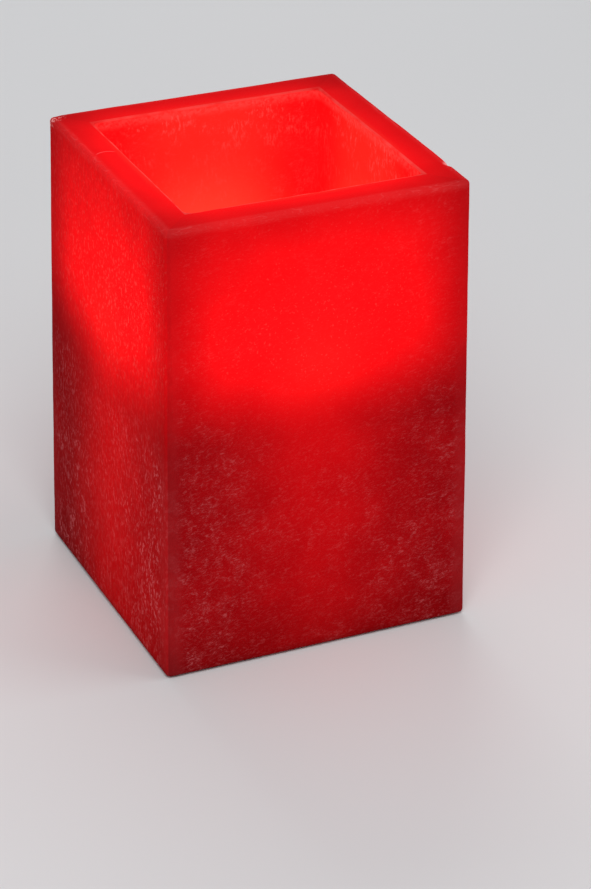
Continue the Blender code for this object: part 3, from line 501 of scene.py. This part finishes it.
def ring_look():
    """The copper-coloured band round a cell's positive end."""
    look = Look("cell_ring", metallic=0.85)
    speckle = look.step(look.noise(0.4 * MM, 2), 0.4, 0.7)
    look.set("Base Color", look.mix(speckle, (0.72, 0.36, 0.13), (0.62, 0.29, 0.1)))
    look.set("Roughness", look.step(speckle, 0, 1, 0.28, 0.38))
    return look.material


LOOKS = {
    "wax": wax_look(),
    "bulb_plastic": bulb_look(),
    "wick": thread_look(),
    "white_plastic": plastic_look("ivory_plastic", (0.8, 0.77, 0.69), (0.74, 0.71, 0.63), 0.5),
    "black_plastic": plastic_look("black_plastic", (0.024, 0.024, 0.026), (0.014, 0.014, 0.015), 0.38),
    "red_wire": plastic_look("red_insulation", (0.62, 0.02, 0.02), (0.5, 0.012, 0.012), 0.34),
    "foot_rubber": plastic_look("foot_rubber", (0.06, 0.06, 0.062), (0.035, 0.035, 0.036), 0.82),
    "nickel": metal_look("nickel_plate", (0.78, 0.76, 0.71), (0.55, 0.53, 0.49), 0.28),
    "hot_melt": glue_look(),
    "board": board_look(),
    "cell_jacket": jacket_look(),
    "cell_ring": ring_look(),
    "led_epoxy": plastic_look("led_epoxy", (0.95, 0.85, 0.55), (0.9, 0.78, 0.45), 0.16),
    "resistor": plastic_look("resistor_lacquer", (0.6, 0.45, 0.27), (0.5, 0.36, 0.2), 0.35),
}


# ---- mesh helpers -----------------------------------------------------------------------------
def add_piece(name, mesh, slot, body, *nodes):
    """Show a mesh in place of CAD nodes, riding on a body."""
    if not mesh.materials:
        mesh.materials.append(LOOKS[slot])
    piece = bpy.data.objects.new(name, mesh)
    bpy.context.scene.collection.objects.link(piece)
    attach(piece, body)
    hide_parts(*nodes)


def loft_mesh(name, loops, ring=False, smooth_angle=40):
    """A closed mesh through loops of equally many points: capped at both ends, or closed as a ring."""
    bm = bmesh.new()
    rows = [[bm.verts.new(point) for point in loop] for loop in loops]
    pairs = list(zip(rows, rows[1:]))
    if ring:
        pairs.append((rows[-1], rows[0]))
    else:
        bm.faces.new(rows[0])
        bm.faces.new(rows[-1])
    for low, high in pairs:
        for i in range(len(low)):
            j = (i + 1) % len(low)
            bm.faces.new((low[i], low[j], high[j], high[i]))
    bmesh.ops.recalc_face_normals(bm, faces=bm.faces)
    mesh = bpy.data.meshes.new(name)
    bm.to_mesh(mesh)
    bm.free()
    mesh.shade_smooth()
    mesh.set_sharp_from_angle(angle=math.radians(smooth_angle))
    return mesh


def full_turn(steps):
    """Evenly spaced angles round a circle."""
    return [math.radians(360) * i / steps for i in range(steps)]


def circle(radius, z, steps=64):
    return [Vector((radius * math.cos(a), radius * math.sin(a), z)) for a in full_turn(steps)]


def arc(steps):
    """Pairs that go from (0, 0) to (1, 1) along a quarter of a circle: sine and 1 - cosine."""
    angles = [math.radians(90) * i / steps for i in range(steps + 1)]
    return [(math.sin(a), 1 - math.cos(a)) for a in angles]


# ---- the wax pillar ---------------------------------------------------------------------------
SIDE_STEPS = 44
CORNER_STEPS = 7


def square_loop(half, radius, z):
    """A rounded square with evenly spaced points along its straight sides."""
    points = []
    for quarter in range(4):
        turn = Matrix.Rotation(math.radians(90) * quarter, 3, "Z")
        flat = half - radius
        for step in range(CORNER_STEPS):
            angle = math.radians(90) * step / CORNER_STEPS
            corner = Vector((flat + radius * math.cos(angle), flat + radius * math.sin(angle), z))
            points.append(turn @ corner)
        for step in range(SIDE_STEPS):
            share = step / SIDE_STEPS
            points.append(turn @ Vector((flat * (1 - 2 * share), half, z)))
    return points


def hole_loop(radius, z):
    """As many points as a square loop has, in the same directions, on a circle."""
    unit_square = square_loop(1, 0.1, 0)
    return [point.normalized() * radius + Vector((0, 0, z)) for point in unit_square]


def outer_half(z):
    """Half the pillar's width at a height."""
    return BASE_HALF - DRAFT * (z - WAX_BOTTOM) / (CANDLE_TOP - WAX_BOTTOM)


def spaced(low, high, count):
    """The values between low and high that part them into count equal steps."""
    return [low + (high - low) * i / count for i in range(1, count)]


def pillar_loops():
    """Loops round the pillar: up its outside, over the rim, down the well and down the hollow below."""
    loops = []
    for across, up in arc(4):
        inset = HEM_ROUNDING * (1 - across)
        z = WAX_BOTTOM + HEM_ROUNDING * up
        loops.append(square_loop(outer_half(z) - inset, WAX_CORNER - inset, z))
    for z in spaced(WAX_BOTTOM + HEM_ROUNDING, CANDLE_TOP - RIM_ROUNDING, 56):
        loops.append(square_loop(outer_half(z), WAX_CORNER, z))
    for across, up in reversed(arc(5)):
        inset = RIM_ROUNDING * (1 - across)
        z = CANDLE_TOP - RIM_ROUNDING * up
        loops.append(square_loop(outer_half(z) - inset, WAX_CORNER - inset, z))

    rim_out = outer_half(CANDLE_TOP) - RIM_ROUNDING
    for half in spaced(rim_out, MOUTH_HALF + LIP_ROUNDING, 6):
        # The corners open up from the rim's small ones to the well's larger ones.
        radius = WAX_CORNER - RIM_ROUNDING + (rim_out - half) * 0.35
        loops.append(square_loop(half, radius, CANDLE_TOP))
    for across, down in arc(3):
        half = MOUTH_HALF + LIP_ROUNDING * (1 - across)
        z = CANDLE_TOP - LIP_ROUNDING * down
        loops.append(square_loop(half, WELL_CORNER + half - MOUTH_HALF, z))
    top = CANDLE_TOP - LIP_ROUNDING
    bottom = WELL_FLOOR + WELL_FILLET
    for z in spaced(top, bottom, 26):
        half = FOOT_HALF + (MOUTH_HALF - FOOT_HALF) * (z - bottom) / (top - bottom)
        loops.append(square_loop(half, WELL_CORNER, z))
    for across, up in reversed(arc(5)):
        inset = WELL_FILLET * (1 - across)
        loops.append(square_loop(FOOT_HALF - inset, WELL_CORNER - inset, WELL_FLOOR + WELL_FILLET * up))

    edge = square_loop(FOOT_HALF - WELL_FILLET, WELL_CORNER - WELL_FILLET, WELL_FLOOR)
    hole = hole_loop(BULB_HOLE, WELL_FLOOR)
    for share in spaced(0, 1, 18):
        loops.append([a.lerp(b, share) for a, b in zip(edge, hole)])
    loops += [
        hole,
        hole_loop(BULB_HOLE, WEB_BOTTOM),
        square_loop(CAVITY_TOP_HALF, CAVITY_CORNER, WEB_BOTTOM),
        square_loop(CAVITY_FOOT_HALF, CAVITY_CORNER, LEDGE),
        square_loop(RECESS_HALF, RECESS_CORNER, LEDGE),
        square_loop(RECESS_HALF, RECESS_CORNER, WAX_BOTTOM),
    ]
    return loops


def waver(point, size, seed=0.0):
    """Smooth noise from -1 to 1, in waves about size metres long."""
    return noise.noise(point / size + Vector((seed, seed, seed)))


def bump_at(point, centre, reach):
    """1 at a centre, falling smoothly to 0 at reach."""
    share = max(0.0, 1 - (point - centre).length / reach)
    return share * share * (3 - 2 * share)


def finish_outside(point, outward, near_rim):
    """How far a point of the outside has moved: slow waves, a chip in the rim, a bruised corner."""
    sway = 0.22 * MM * waver(point, 38 * MM) + 0.07 * MM * waver(point, 7 * MM, 3.1)
    sway += 0.05 * MM * near_rim * waver(point, 9 * MM, 7.7)
    move = outward * (sway - 0.12 * MM)
    move -= (outward + Vector((0, 0, 0.9))) * 0.8 * MM * bump_at(point, RIM_CHIP, 2.2 * MM)
    bruise = bump_at(point, CORNER_BRUISE, 4.5 * MM)
    move.z -= bruise * (0.25 * MM + 0.3 * MM * abs(waver(point, 1.2 * MM, 1.3)))
    return move


def finish_well_wall(point, outward, near_rim):
    """How far a point of the well's wall has moved: slow waves, with shorter ones at its lip."""
    sway = 0.2 * MM * waver(point, 24 * MM, 5.3) + 0.06 * MM * waver(point, 6 * MM, 2.2)
    lip = 0.2 * MM * waver(point, 12 * MM, 9.4) + 0.24 * MM * waver(point, 4 * MM, 1.9)
    return outward * (sway + near_rim * lip)


def finish_floor(point):
    """How far a point of the well's floor has risen: slow waves, and a lumpy scar in one corner."""
    lumps = 0.8 * MM + 1.1 * MM * waver(point, 3.2 * MM, 8.2)
    rise = 0.25 * MM * waver(point, 18 * MM, 6.1) + bump_at(point, FLOOR_SCAR, 8 * MM) * lumps
    return Vector((0, 0, rise))


def hand_finish(point):
    """Move a point of the smooth pillar as casting, carving and handling have left it."""
    wide = max(abs(point.x), abs(point.y))
    outward = Vector((point.x, 0, 0)) if abs(point.x) > abs(point.y) else Vector((0, point.y, 0))
    outward.normalize()
    near_rim = max(0.0, 1 - (CANDLE_TOP - point.z) / (4 * MM))
    moved = point.copy()
    if wide > BASE_HALF - 4 * MM and point.z > WAX_BOTTOM + 0.5 * MM:
        moved += finish_outside(point, outward, near_rim)
    elif point.z > WELL_FLOOR + 0.2 * MM and wide > FOOT_HALF - WELL_FILLET:
        moved += finish_well_wall(point, outward, near_rim)
    if near_rim > 0.5:
        flat = Vector((point.x, point.y, 0))
        moved.z += 0.12 * MM * waver(flat, 16 * MM, 4.4) - 0.1 * MM
    on_floor = abs(point.z - WELL_FLOOR) < 0.1 * MM and wide < FOOT_HALF
    if on_floor and point.xy.length > BULB_HOLE + 2 * MM:
        moved += finish_floor(point)
    return moved


def make_pillar():
    loops = [[hand_finish(point) for point in loop] for loop in pillar_loops()]
    mesh = loft_mesh("wax_pillar", loops, ring=True, smooth_angle=50)
    add_piece("wax_pillar", mesh, "wax", "candle", "wax_body")


# ---- the flame bulb and its wick --------------------------------------------------------------
def make_bulb():
    """A hollow flame: swelling from its foot to the belly, drawn in to a nub at the tip."""
    height = BULB_HIGH.z - BULB_LOW.z
    belly_radius = BULB_HIGH.x
    foot_radius = belly_radius - 0.6 * MM
    nub = 1.05 * MM
    belly = 0.4
    neck = 0.9

    def radius_at(share):
        if share < belly:
            swell = math.sin(math.radians(90) * share / belly)
            return foot_radius + (belly_radius - foot_radius) * swell
        if share < neck:
            turn = math.radians(90) * (share - belly) / (neck - belly)
            return nub + (belly_radius - nub) * math.cos(turn) ** 0.85
        return nub * (1 - 0.5 * ((share - neck) / (1 - neck)) ** 2)

    rows = 40
    wall = 1 * MM
    shares = [i / rows for i in range(rows + 1)]
    outside = [circle(radius_at(share), BULB_LOW.z + height * share) for share in shares]
    inside = []
    for share in reversed(shares[: int(rows * neck)]):
        radius = max(radius_at(share) - wall, 0.4 * MM)
        inside.append(circle(radius, BULB_LOW.z + (height - 3 * MM) * share))
    mesh = loft_mesh("flame_bulb_shell", inside + outside)
    add_piece("flame_bulb_shell", mesh, "bulb_plastic", "candle", "flame_bulb")


def make_wick():
    """A thread of three twisted strands, thinning to its end."""
    low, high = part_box("wick_thread")
    rows = 24
    loops = []
    for i in range(rows + 1):
        share = i / rows
        z = low.z + (high.z - low.z) * share
        lean = 0.25 * MM * math.sin(math.radians(180) * share * 1.4)
        thickness = (0.34 - 0.2 * share) * MM
        loop = []
        for angle in full_turn(18):
            radius = thickness * (1 + 0.18 * math.cos(3 * angle - 9 * share))
            loop.append(Vector((lean + radius * math.cos(angle), radius * math.sin(angle), z)))
        loops.append(loop)
    mesh = loft_mesh("wick_strands", loops, smooth_angle=80)
    add_piece("wick_strands", mesh, "wick", "candle", "wick_thread")


# ---- batteries and springs --------------------------------------------------------------------
CELL_RADIUS = 7.1 * MM
X_AXIS = Vector((1, 0, 0))


def make_cell(name, number):
    """A cell: sleeve rolled over its shoulders, a ring of colour, and bare metal ends."""
    low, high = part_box(f"battery_cell_{number}")
    way = -1 if number == 2 else 1  # the middle cell lies the other way round
    radius = (high.z - low.z) / 2
    centre = (low + high) / 2
    length = high.x - low.x
    can = length - 1 * MM
    button = 2.7 * MM
    ring_start = can * 0.72
    profile = [
        (radius * 0.5, 0.25 * MM),
        (radius * 0.56, 0),
        (radius * 0.86, 0),
        (radius * 0.9, 0.25 * MM),
        (radius - 0.25 * MM, 0.05 * MM),
        (radius, 0.5 * MM),
        (radius, ring_start),
        (radius, can * 0.722),
        (radius, can - 0.5 * MM),
        (radius - 0.25 * MM, can - 0.05 * MM),
        (radius * 0.86, can),
        (radius * 0.84, can - 0.3 * MM),
        (button + 0.6 * MM, can - 0.3 * MM),
        (button, can - 0.1 * MM),
        (button, length - 0.2 * MM),
        (button - 0.25 * MM, length),
    ]
    start = centre.x - way * length / 2
    loops = []
    for ring, along in profile:
        x = start + way * along
        points = circle(ring, 0, 48)
        loops.append([Vector((x, centre.y + p.x, centre.z + way * p.y)) for p in points])
    mesh = loft_mesh(name, loops)
    sleeve, band, metal = range(3)
    for slot in ("cell_jacket", "cell_ring", "nickel"):
        mesh.materials.append(LOOKS[slot])
    for face in mesh.polygons:
        along = way * (face.center.x - start)
        off_axis = math.hypot(face.center.y - centre.y, face.center.z - centre.z)
        face.material_index = metal
        if off_axis > radius * 0.9:
            face.material_index = band if along > ring_start else sleeve
    add_piece(name, mesh, "cell_jacket", "candle", f"battery_cell_{number}")


def make_spring(name, number):
    """A conical coil, from the plate to the cell."""
    low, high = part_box(f"contact_spring_{number}")
    toward = -1 if number == 2 else 1
    wire = 0.35 * MM
    wide = (high.y - low.y) / 2 - wire
    narrow = 2.5 * MM
    middle = (low + high) / 2
    start = middle.x - toward * ((high.x - low.x) / 2 - wire)
    length = high.x - low.x - 2 * wire
    steps = 150
    turns = 4.5
    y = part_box(f"battery_cell_{number}")[0].y + CELL_RADIUS
    loops = []
    for i in range(steps + 1):
        share = i / steps
        angle = math.radians(360) * turns * share
        radius = wide + (narrow - wide) * share
        out = Vector((0, math.cos(angle), math.sin(angle)))
        spot = Vector((start + toward * length * share, y, middle.z)) + out * radius
        loops.append([spot + (out * math.cos(a) + X_AXIS * math.sin(a)) * wire for a in full_turn(10)])
    mesh = loft_mesh(name, loops)
    add_piece(name, mesh, "nickel", "candle", f"contact_spring_{number}")


# ---- CAD nodes that keep their shape ----------------------------------------------------------
def smoothing_group():
    """Geometry nodes that weld a node's triangles and shade them smooth up to 35 degrees."""
    tree = bpy.data.node_groups.new("weld_and_smooth", "GeometryNodeTree")
    tree.interface.new_socket("Geometry", in_out="INPUT", socket_type="NodeSocketGeometry")
    tree.interface.new_socket("Geometry", in_out="OUTPUT", socket_type="NodeSocketGeometry")
    source = tree.nodes.new("NodeGroupInput")
    drop = tree.nodes.new("GeometryNodeRemoveAttribute")
    drop.inputs["Name"].default_value = "custom_normal"
    weld = tree.nodes.new("GeometryNodeMergeByDistance")
    weld.inputs["Distance"].default_value = 0.002 * MM
    faces = tree.nodes.new("GeometryNodeSetShadeSmooth")
    edges = tree.nodes.new("GeometryNodeSetShadeSmooth")
    edges.domain = "EDGE"
    angle = tree.nodes.new("GeometryNodeInputMeshEdgeAngle")
    blunt = tree.nodes.new("FunctionNodeCompare")
    blunt.operation = "LESS_THAN"
    blunt.inputs["B"].default_value = math.radians(35)
    sink = tree.nodes.new("NodeGroupOutput")
    chain = [source, drop, weld, faces, edges, sink]
    for a, b in zip(chain, chain[1:]):
        tree.links.new(a.outputs[0], b.inputs[0])
    tree.links.new(angle.outputs["Unsigned Angle"], blunt.inputs["A"])
    tree.links.new(blunt.outputs["Result"], edges.inputs["Shade Smooth"])
    return tree


def finish_node(name, slot, edge):
    """Give a CAD node its material, smooth shading, and edges eased by edge metres."""
    node = frame["nodes"][name]
    node.data.materials.clear()
    node.data.materials.append(LOOKS[slot])
    node.modifiers.new("weld_and_smooth", "NODES").node_group = SMOOTHING
    if edge:
        bevel = node.modifiers.new("eased_edges", "BEVEL")
        bevel.width = edge
        bevel.segments = 2
        bevel.limit_method = "ANGLE"
        bevel.angle_limit = math.radians(40)
        bevel.use_clamp_overlap = True


SMOOTHING = smoothing_group()

# How far each node's edges are eased. Those that aren't listed stay sharp.
EASED = {
    "base_tray": 0.12 * MM,
    "battery_door": 0.15 * MM,
    "module_cover": 0.2 * MM,
    "led_holder": 0.2 * MM,
    "circuit_board": 0.08 * MM,
    "timer_chip": 0.12 * MM,
    "crystal": 0.3 * MM,
    "capacitor": 0.15 * MM,
    "switch_case": 0.12 * MM,
    "switch_slider": 0.15 * MM,
    "holder_glue_ring": 0.4 * MM,
}
EASED_FAMILIES = {"rubber_foot": 0.2 * MM, "glue_bead": 0.35 * MM, "contact": 0.08 * MM}


def finish_kept_nodes(remade):
    """Finish every CAD node that no other mesh stands in for."""
    slots = {entry["node"]: entry["material_slot"] for entry in frame["record"]["subparts"]}
    for name in sorted(frame["nodes"]):
        if name in remade:
            continue
        edge = EASED.get(name)
        for family, width in EASED_FAMILIES.items():
            if name.startswith(family):
                edge = width
        finish_node(name, slots[name], edge)


# ---- floor, lights and camera -----------------------------------------------------------------
def make_floor():
    bm = bmesh.new()
    bmesh.ops.create_grid(bm, x_segments=1, y_segments=1, size=6)
    mesh = bpy.data.meshes.new("studio_floor")
    bm.to_mesh(mesh)
    bm.free()
    look = Look("pale_floor", roughness=0.85)
    cloud = look.step(look.noise(0.6, 2), 0.3, 0.7)
    look.set("Base Color", look.mix(cloud, (0.74, 0.735, 0.73), (0.77, 0.765, 0.76)))
    mesh.materials.append(look.material)
    floor = bpy.data.objects.new("studio_floor", mesh)
    bpy.context.scene.collection.objects.link(floor)


def add_area_light(name, place, aim, size, power):
    data = bpy.data.lights.new(name, "AREA")
    data.shape = "SQUARE"
    data.size = size
    data.energy = power
    light = bpy.data.objects.new(name, data)
    light.location = place
    light.rotation_euler = (Vector(aim) - Vector(place)).to_track_quat("-Z", "Y").to_euler()
    bpy.context.scene.collection.objects.link(light)


def make_studio():
    world = bpy.data.worlds.new("studio")
    world.use_nodes = True
    sky = world.node_tree.nodes["Background"].inputs
    sky["Color"].default_value = (0.9, 0.93, 1.0, 1)
    sky["Strength"].default_value = 0.32
    bpy.context.scene.world = world
    middle = (0, 0, 0.07)
    add_area_light("key_light", (-0.5, -1.1, 1.5), middle, 1.0, 17)
    add_area_light("fill_light", (1.4, -0.7, 0.9), middle, 1.2, 7)
    add_area_light("back_light", (0.3, 1.4, 1.2), middle, 1.0, 8)


def make_camera():
    azimuth = math.radians(CAMERA_AZIMUTH)
    elevation = math.radians(CAMERA_ELEVATION)
    level = math.cos(elevation)
    back = Vector((math.sin(azimuth) * level, -math.cos(azimuth) * level, math.sin(elevation)))
    right = Vector((math.cos(azimuth), math.sin(azimuth), 0))
    roll = Matrix.Rotation(math.radians(CAMERA_ROLL), 3, "Z")
    turn = Matrix((right, back.cross(right), back)).transposed() @ roll
    data = bpy.data.cameras.new("camera")
    data.lens = CAMERA_LENS
    data.clip_start = 0.01
    camera = bpy.data.objects.new("camera", data)
    camera.matrix_world = Matrix.LocRotScale(CAMERA_AIM + back * CAMERA_DISTANCE, turn, None)
    bpy.context.scene.collection.objects.link(camera)
    bpy.context.scene.camera = camera


make_camera()
make_studio()
make_floor()
make_pillar()
make_bulb()
make_wick()
remade = {"wax_body", "flame_bulb", "wick_thread"}
for number in (1, 2, 3):
    make_cell(f"aa_cell_{number}", number)
    make_spring(f"coil_spring_{number}", number)
    remade |= {f"battery_cell_{number}", f"contact_spring_{number}"}
finish_kept_nodes(remade)

bpy.context.scene.view_settings.view_transform = "Standard"
